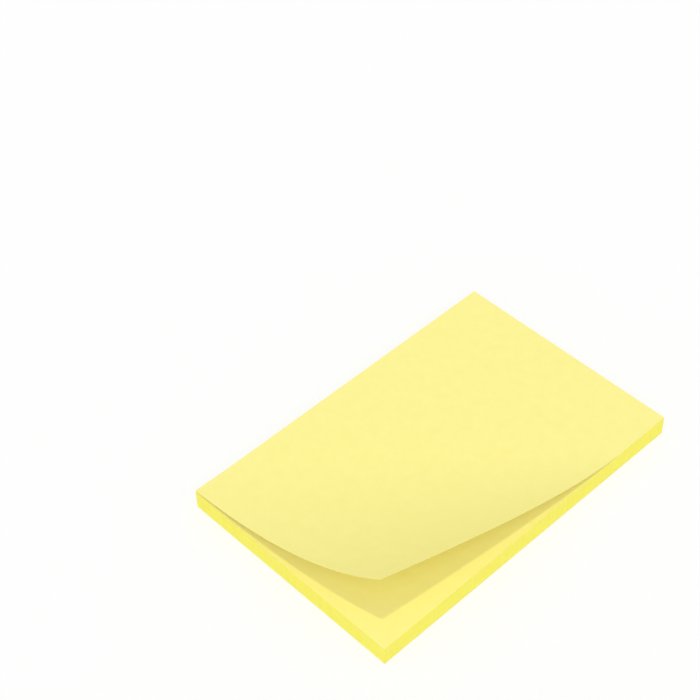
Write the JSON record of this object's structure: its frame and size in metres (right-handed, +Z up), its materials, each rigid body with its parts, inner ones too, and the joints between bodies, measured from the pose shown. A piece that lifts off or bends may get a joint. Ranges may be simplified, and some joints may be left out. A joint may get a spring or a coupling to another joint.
{
  "type": "sticky note pad",
  "caption": "Rectangular pad of plain yellow sticky notes, held to a thin backing sheet along one short edge, with the top note peeled up at one corner.",
  "frame": {"origin": "centre of the pad's underside", "axes": "+X across the short side, +Y along the long side towards the glued edge, +Z up out of the notes"},
  "size_m": [0.0984, 0.149, 0.0384],
  "materials": {
    "note_paper": "matt uncoated yellow paper",
    "note_paper_edges": "cut edges of the stacked yellow sheets",
    "backing_paper": "plain white backing sheet",
    "low_tack_glue": "thin clear film of repositionable glue"
  },
  "bodies": {
    "root": {"backing_sheet": "backing_paper", "backing_glue_strip": "low_tack_glue", "note_block": "note_paper_edges", "top_glue_strip": "low_tack_glue", "top_note": "note_paper"}
  },
  "joints": []
}
